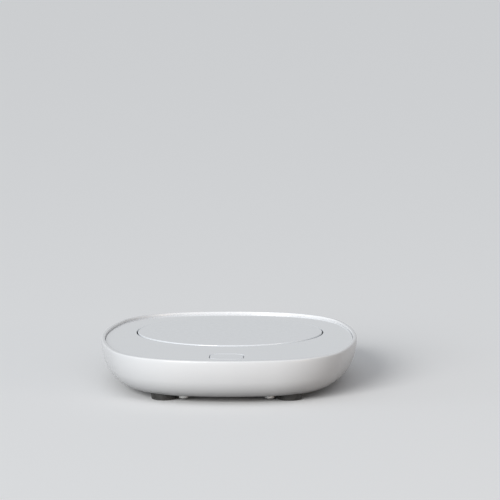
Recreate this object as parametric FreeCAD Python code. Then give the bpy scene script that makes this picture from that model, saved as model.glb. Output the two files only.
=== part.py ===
import FreeCAD, Part
import math
import os

# Electric mug warmer: an oblong tray with a sprung round hot plate and one push button.
# Millimetres. +X is to the right, +Y to the back, +Z up. The origin is on the floor, under the
# tray's centre.

V = FreeCAD.Vector
UP = V(0, 0, 1)

# Tray outline, seen from above: four shallow arcs joined by four corner arcs
half_width = 60.0
half_depth = 77.5
side_radius = 160.0
end_radius = 100.0
corner_radius = 42.0

# Tray side, seen in section
total_height = 21.0
foot_height = 2.6
rim_width = 1.8
rim_outer_round = 0.7
rim_inner_round = 0.3
side_drop_in = 13.9
heel_radius = 13.0
wall = 2.0

# Layers under the rim
panel_drop = 1.0
panel_thickness = 1.3
tape_thickness = 0.3
tape_margin = 2.5
deck_thickness = 2.0
cover_thickness = 2.4

# Gaps and fits
fit_gap = 0.15
seam_gap = 0.15
slide_gap = 0.3
plate_gap = 0.6
touch_gap = 0.3
plunger_gap = 0.05

# Bottom cover seam and the ledge above it
seam_inset = 8.5
ledge_width = 2.0
ledge_thickness = 1.4

# Hot plate and the stack that rides with it. The plate fills the length that the margin behind it
# and the button's zone in front of it leave.
plate_rear_margin = 16.3
button_zone = 51.3
plate_radius = half_depth - (plate_rear_margin + button_zone) / 2
plate_thickness = 2.0
plate_proud = 0.3
plate_travel = 0.8
plate_edge_round = 0.4
heater_margin = 10.7
heater_radius = plate_radius - heater_margin
heater_bore = 5.0
heater_thickness = 0.4
pad_overhang = 1.0
pad_radius = heater_radius + pad_overhang
pad_thickness = 1.5
carrier_floor = 1.5
carrier_wall = 2.0
carrier_side_gap = 0.9
seal_height = 1.0
seal_depth = 0.9
seal_reach = 0.4

# Three guide screws carry the plate on springs, three plate screws hold it to its carrier
stack_screw_margin = 5.7
stack_screw_circle = plate_radius - stack_screw_margin
guide_count = 3
guide_radius = 2.0
guide_boss_radius = 3.4
guide_thread_radius = 1.2
guide_thread_length = 2.4
guide_head_radius = 4.0
guide_head_height = 1.5
guide_play = 0.3
plate_boss_radius = 3.0
plate_screw_radius = 1.1
plate_screw_length = 2.6
plate_screw_head_radius = 2.0
plate_screw_head_height = 1.0

# Well that the plate sinks into
well_wall = 1.6
well_gap = 0.25
well_floor = 1.5
well_floor_width = 11.5
under_well_room = 4.3

# Screw heads, as shares of a head's radius or height
head_round_share = 0.45
cross_depth_share = 0.5
cross_width_share = 0.3
cross_length_share = 1.1

# Coil springs
plate_spring_wire = 0.6
plate_spring_radius = 3.1
plate_spring_turns = 3
button_spring_wire = 0.5
button_spring_radius = 5.6
button_spring_turns = 4
coil_hair = 0.02
coil_steps = 12
coil_sides = 8

# Temperature parts under the plate
sensor_radius = 1.2
sensor_margin = 18.0
sensor_offset = heater_radius - sensor_margin
fuse_radius = 1.25
fuse_length = 9.0
fuse_margin = 11.0
fuse_offset = heater_radius - fuse_margin
clip_width = 4.0
clip_length = 17.0
clip_thickness = 0.4
clip_peg_radius = 0.9

# Weight switch under the plate's centre
switch_length = 9.0
switch_depth = 4.4
switch_height = 5.0
switch_plunger_radius = 1.2
switch_plunger_height = 1.0
switch_plunger_depth = 0.7
switch_boss_radius = 3.0
switch_boss_height = 0.9
cheek_thickness = 1.2
cheek_rise = 3.2
switch_pin_radius = 0.8
switch_pin_spacing = 5.0
switch_tab_width = 1.6
switch_tab_thickness = 0.5
switch_tab_length = 2.0

# Push button
button_size = 15.4
button_corner = 4.5
button_inset = 20.5
button_wall = 1.2
button_top = 1.6
button_gap = 0.2
button_travel = 0.5
button_flange = 1.0
button_flange_thickness = 1.0
button_skirt_below_deck = 1.4
button_pip_radius = 1.5
button_edge_round = 0.2

# Button board
button_board_width = 29.0
button_board_depth = 17.0
button_board_thickness = 1.2
button_board_drop = 4.6
board_post_radius = 2.2
board_screw_radius = 0.9
board_screw_head_radius = 1.7
board_screw_head_height = 1.0
board_screw_grip = 2.6
board_post_spacing = 24.0
tact_size = 6.2
tact_corner = 0.6
tact_height = 1.8
tact_plunger_radius = 1.7
tact_plunger_height = 0.9
tact_plunger_depth = 0.2
led_length = 1.6
led_width = 0.8
led_height = 0.6
led_offset = 4.0

# Main board
board_inset = 12.0
board_half_width = 42.0
board_rear_gap = 5.0
board_thickness = 1.4
board_standoff = 1.8
standoff_radius = 2.6
board_boss_gap = 0.5
board_fix_rear_x = 37.0
board_fix_rear_margin = 4.5
board_fix_front_x = 27.5
board_fix_front_margin = 13.5
part_headroom = 1.0
capacitor_radius = 3.15
capacitor_round = 0.4
capacitor_x = 30.0
capacitor_margin = 12.5
choke_size = 10.0
choke_corner = 1.5
choke_height = 4.6
choke_core_radius = 3.3
choke_groove_width = 0.8
choke_groove_depth = 0.5
choke_x = -28.0
choke_margin = 11.0
transistor_width = 6.6
transistor_depth = 6.1
transistor_height = 2.3
transistor_tab_width = 5.3
transistor_tab_reach = 0.9
transistor_tab_height = 0.9
transistor_leg_width = 0.8
transistor_leg_reach = 1.8
transistor_leg_height = 0.7
transistor_leg_offset = 2.3
transistor_x = 17.0
transistor_margin = 10.5
chip_width = 8.7
chip_depth = 3.9
chip_height = 1.6
chip_pin_reach = 1.0
chip_pin_width = 0.45
chip_pin_height = 0.4
chip_pin_count = 8
chip_x = -11.0
chip_margin = 12.0

# Wire headers on the main board, one for each pair of leads
header_width = 6.2
header_depth = 4.5
header_height = 4.4
header_margin = 0.8
wire_height_in_header = 1.5
link_width = 10.0
link_depth = 2.4

# Leads
lead_radius = 0.65
thin_lead_radius = 0.45
lead_spacing = 1.6
lead_floor_gap = 0.15
inlet_lead_x = 15.0
switch_lead_x = 7.0
heater_lead_x = -8.0
sensor_lead_x = -16.0
heater_lead_rise = 14.0
sensor_lead_rise = 10.0
rise_bend = 4.5
ramp_bend = 8.0
ramp_length = 12.0
ramp_level = 2.2
ramp_crest_bend = 5.0
tab_run = 5.0
inlet_turn = 18.0
switch_lead_fall = 10.0
lead_hole_gap = 0.5
lead_top_gap = 1.3

# Power inlet at the back
inlet_face_depth = 4.2
inlet_pocket_radius = 5.0
inlet_boss_radius = 6.0
inlet_wall = 1.5
inlet_nose_radius = 4.0
inlet_bore_radius = 2.8
inlet_bore_depth = 7.0
inlet_pin_radius = 1.05
inlet_pin_drop = 0.5
inlet_body_width = 9.0
inlet_body_height = 8.2
inlet_body_depth = 6.5
inlet_tab_width = 2.2
inlet_tab_thickness = 0.6

# Cover screws, feet and the bare label recess
cover_screw_x = 19.6
cover_screw_margin = 19.5
cover_screw_radius = 1.15
cover_screw_length = 6.5
cover_screw_head_radius = 2.3
cover_screw_head_height = 1.6
cover_boss_radius = 3.2
foot_x = 28.7
foot_margin = 23.0
foot_radius = 6.1
foot_recess = 1.1
foot_bottom_round = 0.6
foot_taper = 0.3
foot_gap = 0.1
label_width = 44.0
label_depth = 24.0
label_recess = 0.2
label_corner = 2.0

# How far a cutting solid runs past what it cuts, and how close two equal heights may be
overcut = 1.0
same_height = 1e-6

# Levels, from the floor up
z_base = foot_height
z_cover = z_base + cover_thickness
z_rim = total_height
z_side_top = z_rim - rim_outer_round
z_panel = z_rim - panel_drop
z_panel_under = z_panel - panel_thickness
z_deck = z_panel_under - tape_thickness
z_deck_under = z_deck - deck_thickness
z_plate = z_panel + plate_proud
z_plate_under = z_plate - plate_thickness
z_heater_under = z_plate_under - heater_thickness
z_pad_under = z_heater_under - pad_thickness
z_carrier_under = z_pad_under - carrier_floor
z_well_under = z_cover + under_well_room
z_well_floor = z_well_under + well_floor
z_board_under = z_cover + board_standoff
z_board = z_board_under + board_thickness
z_wire = z_cover + lead_floor_gap + lead_radius
z_button_board = z_deck_under - button_board_drop
z_button_board_under = z_button_board - button_board_thickness

# Places worked out from the outline
plate_hole_radius = plate_radius + plate_gap
plate_y = half_depth - plate_rear_margin - plate_radius
well_radius = plate_hole_radius + well_gap
well_outer_radius = well_radius + well_wall
button_y = button_inset - half_depth
board_rear_y = plate_y - well_outer_radius - board_rear_gap
inlet_y = half_depth - inlet_face_depth
inlet_body_y = inlet_y - inlet_wall - inlet_body_depth
inlet_z = z_deck_under - inlet_body_height / 2 - touch_gap
cover_screw_y = half_depth - cover_screw_margin
foot_y = half_depth - foot_margin


def arc(p1, p2, p3):
    return Part.Arc(p1, p2, p3).toShape()


def line(p1, p2):
    return Part.makeLine(p1, p2)


def face_of(edges):
    return Part.Face(Part.Wire(edges))


def cylinder(x, y, z0, z1, radius):
    return Part.makeCylinder(radius, z1 - z0, V(x, y, z0))


def tube(x, y, z0, z1, outer, inner):
    return cylinder(x, y, z0, z1, outer).cut(cylinder(x, y, z0, z1, inner))


def block(x0, x1, y0, y1, z0, z1):
    return Part.makeBox(x1 - x0, y1 - y0, z1 - z0, V(x0, y0, z0))


def centred_block(x, y, z0, z1, width, depth):
    return block(x - width / 2, x + width / 2, y - depth / 2, y + depth / 2, z0, z1)


def rounded_block(x, y, z0, z1, width, depth, corner):
    solid = centred_block(x, y, z0, z1, width, depth)
    upright = [e for e in solid.Edges if abs(e.tangentAt(e.FirstParameter).z) > 0.9]
    return solid.makeFillet(corner, upright)


def level_edges(solid, z):
    """The edges of a solid that lie flat at height z."""
    return [e for e in solid.Edges
            if abs(e.BoundBox.ZMin - z) < same_height and abs(e.BoundBox.ZMax - z) < same_height]


def join(solids):
    solids = list(solids)
    if len(solids) == 1:
        return solids[0]
    return solids[0].multiFuse(solids[1:]).removeSplitter()


def group(solids):
    return Part.makeCompound(list(solids))


def around_plate(count, first_angle, radius):
    places = []
    for i in range(count):
        angle = math.radians(first_angle + 360.0 * i / count)
        places.append((radius * math.cos(angle), plate_y + radius * math.sin(angle)))
    return places


def four_corners(x, y):
    return [(-x, -y), (x, -y), (-x, y), (x, y)]


def outline_arcs():
    """Centre, radius and the two end angles of each of the eight arcs, counter-clockwise from the
    right side."""
    side_centre = V(half_width - side_radius, 0, 0)
    end_centre = V(0, half_depth - end_radius, 0)
    to_side = side_radius - corner_radius
    to_end = end_radius - corner_radius
    apart = end_centre - side_centre
    along = (to_side ** 2 - to_end ** 2 + apart.Length ** 2) / (2 * apart.Length)
    across = math.sqrt(to_side ** 2 - along ** 2)
    unit = V(apart).normalize()
    corner = side_centre + unit * along + V(-unit.y, unit.x, 0) * across
    low = math.atan2(corner.y - side_centre.y, corner.x - side_centre.x)
    high = math.atan2(corner.y - end_centre.y, corner.x - end_centre.x)
    half = math.pi / 2
    quarter = [(side_centre, side_radius, 0, low), (corner, corner_radius, low, high),
               (end_centre, end_radius, high, half)]
    arcs = []
    for turn in range(4):
        for centre, radius, start, end in quarter if turn % 2 == 0 else quarter[::-1]:
            if turn == 0:
                arcs.append((V(centre), radius, start, end))
            elif turn == 1:
                arcs.append((V(-centre.x, centre.y, 0), radius, math.pi - end, math.pi - start))
            elif turn == 2:
                arcs.append((V(-centre.x, -centre.y, 0), radius, math.pi + start, math.pi + end))
            else:
                arcs.append((V(centre.x, -centre.y, 0), radius, 2 * math.pi - end, 2 * math.pi - start))
    return arcs


def outline_face(inset, z):
    """The tray's outline, moved inwards by inset, as a flat face at height z."""
    edges = []
    for centre, radius, start, end in outline_arcs():
        points = []
        for angle in (start, (start + end) / 2, end):
            reach = radius - inset
            points.append(V(centre.x + reach * math.cos(angle), centre.y + reach * math.sin(angle), z))
        edges.append(arc(*points))
    return face_of(edges)


def slab(inset, z0, z1):
    return outline_face(inset, z0).extrude(V(0, 0, z1 - z0))


def swept_round(section):
    """Carries a section round the outline. The section is a function that draws a closed face in the
    XZ plane, for an arc of the given radius whose centre is on the Z axis."""
    pieces = []
    for centre, radius, start, end in outline_arcs():
        piece = section(radius)
        piece = piece.revolve(V(0, 0, 0), UP, math.degrees(end - start))
        piece.rotate(V(0, 0, 0), UP, math.degrees(start))
        piece.translate(centre)
        pieces.append(piece)
    return join(pieces)


class Side:
    """The tray's side in section: an upper arc that starts upright and a tighter heel arc that ends level.
    Insets are measured inwards from the widest line, and offset moves the curve towards the inside."""

    def __init__(self, offset):
        height = z_side_top - z_base
        upper = (side_drop_in ** 2 + (height - heel_radius) ** 2 - heel_radius ** 2)
        upper = upper / (2 * (side_drop_in - heel_radius))
        self.upper_centre = (upper, z_side_top)
        self.heel_centre = (side_drop_in, z_base + heel_radius)
        self.upper_radius = upper - offset
        self.heel_radius = heel_radius - offset
        run = (self.heel_centre[0] - upper, self.heel_centre[1] - z_side_top)
        length = math.hypot(*run)
        self.join_inset = upper + run[0] * self.upper_radius / length
        self.join_z = z_side_top + run[1] * self.upper_radius / length

    def inset_at(self, z):
        centre, radius = self.upper_centre, self.upper_radius
        if z < self.join_z:
            centre, radius = self.heel_centre, self.heel_radius
        return centre[0] - math.sqrt(max(radius ** 2 - (z - centre[1]) ** 2, 0))

    def z_at(self, inset):
        return self.heel_centre[1] - math.sqrt(self.heel_radius ** 2 - (self.heel_centre[0] - inset) ** 2)

    def edges(self, place, z_top, z_bottom):
        """Edges from z_top down to z_bottom, drawn with place(inset, z)."""
        middle = (z_top + self.join_z) / 2
        upper = arc(place(self.inset_at(z_top), z_top), place(self.inset_at(middle), middle),
                    place(self.join_inset, self.join_z))
        start = self.join_z
        middle = (start + z_bottom) / 2
        heel = arc(place(self.join_inset, start), place(self.inset_at(middle), middle),
                   place(self.inset_at(z_bottom), z_bottom))
        return [upper, heel]


def polyline(points):
    return [line(a, b) for a, b in zip(points, points[1:])]


def wall_section(radius):
    """The shell's wall: rim, side, cover opening and ledge."""
    outside = Side(0)
    inside = Side(wall)

    def place(inset, z):
        return V(radius - inset, 0, z)

    z_seam = outside.z_at(seam_inset)
    z_ledge = z_cover + ledge_thickness
    ledge_inset = seam_inset + ledge_width
    edges = outside.edges(place, z_side_top, z_seam)
    edges += polyline([place(seam_inset, z_seam), place(seam_inset, z_cover), place(ledge_inset, z_cover),
                       place(ledge_inset, z_ledge), place(inside.inset_at(z_ledge), z_ledge)])
    edges += inside.edges(place, z_deck_under, z_ledge)
    z_neck = (z_deck_under + z_deck) / 2
    edges += polyline([place(inside.inset_at(z_deck_under), z_deck_under),
                       place(inside.inset_at(z_deck_under), z_neck), place(rim_width, z_neck),
                       place(rim_width, z_rim - rim_inner_round)])
    bevel = 1 - math.sqrt(0.5)
    edges.append(arc(place(rim_width, z_rim - rim_inner_round),
                     place(rim_width - rim_inner_round * bevel, z_rim - rim_inner_round * bevel),
                     place(rim_width - rim_inner_round, z_rim)))
    edges.append(line(place(rim_width - rim_inner_round, z_rim), place(rim_outer_round, z_rim)))
    edges.append(arc(place(rim_outer_round, z_rim),
                     place(rim_outer_round * bevel, z_rim - rim_outer_round * bevel),
                     place(0, z_side_top)))
    return Part.Face(Part.Wire(Part.sortEdges(edges)[0]))


def bowl_section(radius):
    """The outer form below the rim, from the side's surface to well inside the tray."""
    outside = Side(0)
    inner = side_drop_in + wall

    def place(inset, z):
        return V(radius - inset, 0, z)

    edges = outside.edges(place, z_side_top, z_base)
    edges += polyline([place(side_drop_in, z_base), place(inner, z_base), place(inner, z_side_top),
                       place(0, z_side_top)])
    return Part.Face(Part.Wire(Part.sortEdges(edges)[0]))


def bowl():
    """The whole outer form as one solid, used to trim what follows the tray's surface."""
    return swept_round(bowl_section).fuse(slab(side_drop_in, z_base, z_side_top)).removeSplitter()


def button_prism(z0, z1, growth):
    size = button_size + 2 * growth
    return rounded_block(0, button_y, z0, z1, size, size, button_corner + growth)


def guide_places():
    return around_plate(guide_count, -90, stack_screw_circle)


def plate_screw_places():
    return around_plate(guide_count, 90, stack_screw_circle)


def board_posts():
    return [(-board_post_spacing / 2, button_y), (board_post_spacing / 2, button_y)]


def board_fix_places():
    rear = board_rear_y - board_fix_rear_margin
    front = board_inset + board_fix_front_margin - half_depth
    return [(-board_fix_rear_x, rear), (board_fix_rear_x, rear), (-board_fix_front_x, front),
            (board_fix_front_x, front)]


def inlet_cylinder(y0, y1, radius):
    return Part.makeCylinder(radius, y1 - y0, V(0, y0, inlet_z), V(0, 1, 0))


def housing_shell(outer_form):
    shell = swept_round(wall_section)
    deck = slab(rim_width - fit_gap, z_deck_under, z_deck)
    collar = cylinder(0, plate_y, z_well_under, z_deck, well_outer_radius)
    bosses = []
    for x, y in four_corners(cover_screw_x, cover_screw_y):
        bosses.append(cylinder(x, y, z_cover, z_deck_under if y < 0 else z_well_under, cover_boss_radius))
    for x, y in board_posts():
        bosses.append(cylinder(x, y, z_button_board, z_deck_under, board_post_radius))
    inlet_back = inlet_y - inlet_wall
    boss = inlet_cylinder(inlet_back, half_depth, inlet_boss_radius).common(outer_form)
    z_ledge = z_cover + ledge_thickness
    cradle = centred_block(0, (inlet_back + inlet_body_y) / 2 + wall / 2, z_ledge,
                           inlet_z - inlet_body_height / 2, inlet_body_width, inlet_body_depth - wall)
    solid = join([shell, deck, collar, boss, cradle] + bosses)
    cuts = [cylinder(0, plate_y, z_well_floor, z_rim, well_radius),
            cylinder(0, plate_y, z_base, z_rim, well_radius - well_floor_width),
            button_prism(z_base, z_rim, slide_gap),
            inlet_cylinder(inlet_y, half_depth + wall, inlet_pocket_radius),
            inlet_cylinder(inlet_back - overcut, inlet_y + overcut, inlet_nose_radius + fit_gap),
            inlet_body_block()]
    for x, y in guide_places():
        cuts.append(cylinder(x, y, z_base, z_rim, guide_radius + slide_gap))
    for x, y in four_corners(cover_screw_x, cover_screw_y):
        z_tip = z_base + cover_screw_length
        cuts.append(cylinder(x, y, z_base, z_tip, cover_screw_radius))
    for x, y in board_posts():
        z_tip = z_button_board_under + board_screw_grip
        cuts.append(cylinder(x, y, z_button_board, z_tip, board_screw_radius))
    for cut in cuts:
        solid = solid.cut(cut)
    return solid.removeSplitter()


def bottom_cover(outer_form):
    plate = outer_form.common(slab(seam_inset + seam_gap, 0, z_cover))
    solids = [plate]
    for x, y in board_fix_places():
        solids.append(cylinder(x, y, z_cover, z_board_under, standoff_radius))
    z_seat = switch_seat()
    solids.append(centred_block(0, plate_y, z_cover, z_seat, switch_length, switch_depth))
    for side in (-1, 1):
        y = plate_y + side * (switch_depth + cheek_thickness) / 2
        solids.append(centred_block(0, y, z_cover, z_seat + cheek_rise, switch_length, cheek_thickness))
    solid = join(solids)
    for x, y in four_corners(cover_screw_x, cover_screw_y):
        solid = solid.cut(cylinder(x, y, 0, z_cover, cover_screw_radius + fit_gap))
    for x, y in four_corners(foot_x, foot_y):
        solid = solid.cut(cylinder(x, y, 0, z_base + foot_recess, foot_radius + foot_gap))
    for x, y in board_fix_places():
        solid = solid.cut(cylinder(x, y, z_board_under - board_screw_grip, z_board, board_screw_radius))
    for x in (-switch_pin_spacing / 2, switch_pin_spacing / 2):
        solid = solid.cut(switch_pin(x))
    label = rounded_block(0, 0, 0, z_base + label_recess, label_width, label_depth, label_corner)
    return solid.cut(label).removeSplitter()


def switch_seat():
    """Height of the seat that brings the weight switch's plunger just under the carrier's boss."""
    plunger_top = z_carrier_under - switch_boss_height - touch_gap
    return plunger_top - switch_plunger_height - switch_height


def switch_pin(x):
    length = switch_depth + 2 * cheek_thickness
    z = switch_seat() + cheek_rise / 2
    return Part.makeCylinder(switch_pin_radius, length, V(x, plate_y - length / 2, z), V(0, 1, 0))


def top_panel():
    plate = slab(rim_width + fit_gap, z_panel_under, z_panel)
    plate = plate.cut(cylinder(0, plate_y, z_panel_under, z_panel, plate_hole_radius))
    return plate.cut(button_prism(z_panel_under - overcut, z_panel + overcut, button_gap))


def panel_tape():
    tape = slab(rim_width + tape_margin, z_deck, z_panel_under)
    tape = tape.cut(cylinder(0, plate_y, z_deck, z_panel_under, well_outer_radius))
    return tape.cut(button_prism(z_deck - overcut, z_panel_under + overcut, button_flange))


def heating_plate():
    disc = cylinder(0, plate_y, z_plate_under, z_plate, plate_radius)
    disc = disc.makeFillet(plate_edge_round, level_edges(disc, z_plate))
    bosses = [cylinder(x, y, z_pad_under, z_plate_under, plate_boss_radius) for x, y in plate_screw_places()]
    solid = join([disc] + bosses)
    for x, y in plate_screw_places():
        z_start = z_carrier_under
        solid = solid.cut(cylinder(x, y, z_start, z_start + plate_screw_length, plate_screw_radius))
    return solid


def heater_film():
    return tube(0, plate_y, z_heater_under, z_plate_under, heater_radius, heater_bore)


def insulation_pad():
    pad = cylinder(0, plate_y, z_pad_under, z_heater_under, pad_radius)
    for cut in stack_openings(z_pad_under, z_heater_under):
        pad = pad.cut(cut)
    return pad


def stack_openings(z0, z1):
    """Openings through the pad and the carrier for the sensor, the fuse and the leads that come up
    to them."""
    sensor = cylinder(-sensor_offset, plate_y, z0, z1, sensor_radius + fit_gap)
    fuse = centred_block(-fuse_offset, plate_y, z0, z1, 2 * (fuse_radius + fit_gap),
                         fuse_length + 2 * fit_gap)
    return [sensor, fuse, lead_slot(heater_lead_x, heater_lead_rise, lead_radius, z0, z1),
            lead_slot(sensor_lead_x, sensor_lead_rise, thin_lead_radius, z0, z1)]


def lead_slot(x, rise, radius, z0, z1):
    width = lead_spacing + 2 * (radius + lead_hole_gap)
    return centred_block(x, plate_y - rise, z0, z1, width, 2 * (radius + lead_hole_gap))


def plate_carrier():
    outer = well_radius - carrier_side_gap
    cup = cylinder(0, plate_y, z_carrier_under, z_plate_under, outer)
    cup = cup.cut(cylinder(0, plate_y, z_pad_under, z_plate_under, outer - carrier_wall))
    z_boss = z_carrier_under - switch_boss_height
    solids = [cup, cylinder(0, plate_y, z_boss, z_carrier_under, switch_boss_radius)]
    for x, y in guide_places():
        solids.append(cylinder(x, y, z_carrier_under, z_heater_under, guide_boss_radius))
    solid = join(solids)
    for x, y in guide_places():
        z_tip = z_carrier_under + guide_thread_length
        solid = solid.cut(cylinder(x, y, z_carrier_under, z_tip, guide_thread_radius))
    for x, y in plate_screw_places():
        solid = solid.cut(cylinder(x, y, z_carrier_under, z_pad_under, plate_screw_radius + fit_gap))
    for cut in stack_openings(z_carrier_under, z_pad_under)[1:]:
        solid = solid.cut(cut)
    for x, y in clip_pegs():
        solid = solid.cut(cylinder(x, y, z_carrier_under, z_pad_under, clip_peg_radius))
    groove = tube(0, plate_y, z_pad_under, z_pad_under + seal_height, well_radius, outer - seal_depth)
    return solid.cut(groove)


def plate_seal():
    outer = well_radius - carrier_side_gap
    return tube(0, plate_y, z_pad_under, z_pad_under + seal_height, outer + seal_reach, outer - seal_depth)


def plate_screws():
    screws = []
    for x, y in plate_screw_places():
        shank = cylinder(x, y, z_carrier_under, z_carrier_under + plate_screw_length, plate_screw_radius)
        head = screw_head(x, y, z_carrier_under, -1, plate_screw_head_radius, plate_screw_head_height)
        screws.append(shank.fuse(head).removeSplitter())
    return group(screws)


def screw_head(x, y, z, direction, radius, height):
    """A pan head with a cross recess, standing out from z up (1) or down (-1)."""
    base = min(z, z + direction * height)
    head = cylinder(x, y, base, base + height, radius)
    far = z + direction * height
    head = head.makeFillet(height * head_round_share, level_edges(head, far))
    depth = height * cross_depth_share
    low = min(far, far - direction * depth)
    narrow = radius * cross_width_share
    long = radius * cross_length_share
    for width, length in ((narrow, long), (long, narrow)):
        head = head.cut(centred_block(x, y, low, low + depth, width, length))
    return head


def guide_screws():
    screws = []
    z_head = z_well_under - guide_play
    for x, y in guide_places():
        shoulder = cylinder(x, y, z_head, z_carrier_under, guide_radius)
        thread = cylinder(x, y, z_carrier_under, z_carrier_under + guide_thread_length, guide_thread_radius)
        head = screw_head(x, y, z_head, -1, guide_head_radius, guide_head_height)
        screws.append(shoulder.fuse(thread).fuse(head).removeSplitter())
    return group(screws)


def coil(x, y, z0, z1, radius, wire, turns):
    """A coil spring between two seats, with its wire clear of both by a hair. Its wire has flat sides."""
    low = z0 + wire / 2 + coil_hair
    rise = z1 - z0 - wire - 2 * coil_hair
    count = turns * coil_steps
    rings = []
    for i in range(count + 1):
        angle = 2 * math.pi * i / coil_steps
        out = V(math.cos(angle), math.sin(angle), 0)
        centre = V(x, y, low + rise * i / count) + out * radius
        points = []
        for k in range(coil_sides + 1):
            turn = 2 * math.pi * k / coil_sides
            points.append(centre + out * (wire / 2 * math.cos(turn)) + UP * (wire / 2 * math.sin(turn)))
        rings.append(Part.makePolygon(points))
    return Part.makeLoft(rings, True, True)


def plate_springs():
    springs = []
    for x, y in guide_places():
        springs.append(coil(x, y, z_well_floor, z_carrier_under, plate_spring_radius,
                            plate_spring_wire, plate_spring_turns))
    return group(springs)


def temperature_sensor():
    return cylinder(-sensor_offset, plate_y, z_pad_under, z_heater_under, sensor_radius)


def thermal_fuse():
    z = z_heater_under - fuse_radius
    y0 = plate_y - fuse_length / 2
    return Part.makeCylinder(fuse_radius, fuse_length, V(-fuse_offset, y0, z), V(0, 1, 0))


def clip_pegs():
    reach = (clip_length - clip_width) / 2
    return [(-fuse_offset, plate_y - reach), (-fuse_offset, plate_y + reach)]


def fuse_clip():
    strip = centred_block(-fuse_offset, plate_y, z_carrier_under - clip_thickness, z_carrier_under,
                          clip_width, clip_length)
    pegs = [cylinder(x, y, z_carrier_under, z_pad_under, clip_peg_radius) for x, y in clip_pegs()]
    z_fuse = z_heater_under - 2 * fuse_radius
    tongue = centred_block(-fuse_offset, plate_y, z_carrier_under, z_fuse, 2 * fuse_radius,
                           fuse_length / 2)
    return join([strip, tongue] + pegs)


def weight_switch():
    z0 = switch_seat()
    z_top = z0 + switch_height
    body = centred_block(0, plate_y, z0, z_top, switch_length, switch_depth)
    body = body.cut(cylinder(0, plate_y, z_top - 2 * plate_travel, z_top,
                             switch_plunger_radius + plunger_gap))
    for x in (-switch_pin_spacing / 2, switch_pin_spacing / 2):
        body = body.cut(switch_pin(x))
    return body


def weight_switch_plunger():
    z_top = switch_seat() + switch_height
    return cylinder(0, plate_y, z_top - switch_plunger_depth, z_top + switch_plunger_height,
                    switch_plunger_radius)


def switch_pins():
    return group(switch_pin(x) for x in (-switch_pin_spacing / 2, switch_pin_spacing / 2))


def switch_tab_end():
    return plate_y - switch_depth / 2 - switch_tab_length


def switch_tabs():
    tabs = []
    for side in (-1, 1):
        x = side * (switch_length / 2 - switch_tab_width)
        z0 = switch_seat() + switch_height - 2 * switch_tab_thickness
        tabs.append(block(x - switch_tab_width / 2, x + switch_tab_width / 2, switch_tab_end(),
                          plate_y - switch_depth / 2, z0, z0 + switch_tab_thickness))
    return group(tabs)


def power_button():
    z_flange = z_deck_under - button_gap
    z_low = z_flange - button_skirt_below_deck
    cap = button_prism(z_low, z_panel, 0)
    cap = cap.makeFillet(button_edge_round, level_edges(cap, z_panel))
    flange = button_prism(z_flange - button_flange_thickness, z_flange, button_flange)
    inner = button_size - 2 * button_wall
    z_roof = z_panel - button_top
    hollow = rounded_block(0, button_y, z_low, z_roof, inner, inner, button_corner - button_wall)
    pip_end = z_button_board + tact_height + tact_plunger_height + touch_gap
    pip = cylinder(0, button_y, pip_end, z_roof, button_pip_radius)
    return join([cap.fuse(flange).cut(hollow), pip])


def button_spring():
    return coil(0, button_y, z_button_board, z_panel - button_top, button_spring_radius, button_spring_wire,
                button_spring_turns)


def button_board():
    board = centred_block(0, button_y, z_button_board_under, z_button_board, button_board_width,
                          button_board_depth)
    for x, y in board_posts():
        board = board.cut(cylinder(x, y, z_button_board_under, z_button_board,
                                   board_screw_radius + fit_gap))
    return board


def button_board_screws():
    screws = []
    for x, y in board_posts():
        z0 = z_button_board_under
        shank = cylinder(x, y, z0, z0 + board_screw_grip, board_screw_radius)
        head = screw_head(x, y, z0, -1, board_screw_head_radius, board_screw_head_height)
        screws.append(shank.fuse(head))
    return group(screws)


def tact_switch():
    z_top = z_button_board + tact_height
    body = rounded_block(0, button_y, z_button_board, z_top, tact_size, tact_size, tact_corner)
    depth = button_travel + touch_gap
    return body.cut(cylinder(0, button_y, z_top - depth, z_top, tact_plunger_radius + plunger_gap))


def tact_plunger():
    z_top = z_button_board + tact_height
    return cylinder(0, button_y, z_top - tact_plunger_depth, z_top + tact_plunger_height,
                    tact_plunger_radius)


def status_leds():
    lamps = []
    for side in (-1, 1):
        lamps.append(centred_block(side * led_offset, button_y, z_button_board,
                                   z_button_board + led_height, led_width, led_length))
    return group(lamps)


def main_board():
    front = slab(board_inset, z_board_under, z_board)
    keep = block(-board_half_width, board_half_width, -half_depth, board_rear_y, z_board_under, z_board)
    board = front.common(keep)
    for x in (-cover_screw_x, cover_screw_x):
        board = board.cut(cylinder(x, -cover_screw_y, z_board_under, z_board,
                                   cover_boss_radius + board_boss_gap))
    for x, y in board_fix_places():
        board = board.cut(cylinder(x, y, z_board_under, z_board, board_screw_radius + fit_gap))
    return board


def main_board_screws():
    screws = []
    for x, y in board_fix_places():
        shank = cylinder(x, y, z_board_under - board_screw_grip, z_board, board_screw_radius)
        head = screw_head(x, y, z_board, 1, board_screw_head_radius, board_screw_head_height)
        screws.append(shank.fuse(head))
    return group(screws)


def capacitor():
    y = board_rear_y - capacitor_margin
    z_top = z_deck_under - part_headroom
    can = cylinder(capacitor_x, y, z_board, z_top, capacitor_radius)
    return can.makeFillet(capacitor_round, level_edges(can, z_top))


def choke():
    y = board_rear_y - choke_margin
    z_top = z_board + choke_height
    body = rounded_block(choke_x, y, z_board, z_top, choke_size, choke_size, choke_corner)
    return body.cut(tube(choke_x, y, z_top - choke_groove_depth, z_top,
                         choke_core_radius + choke_groove_width, choke_core_radius))


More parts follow.
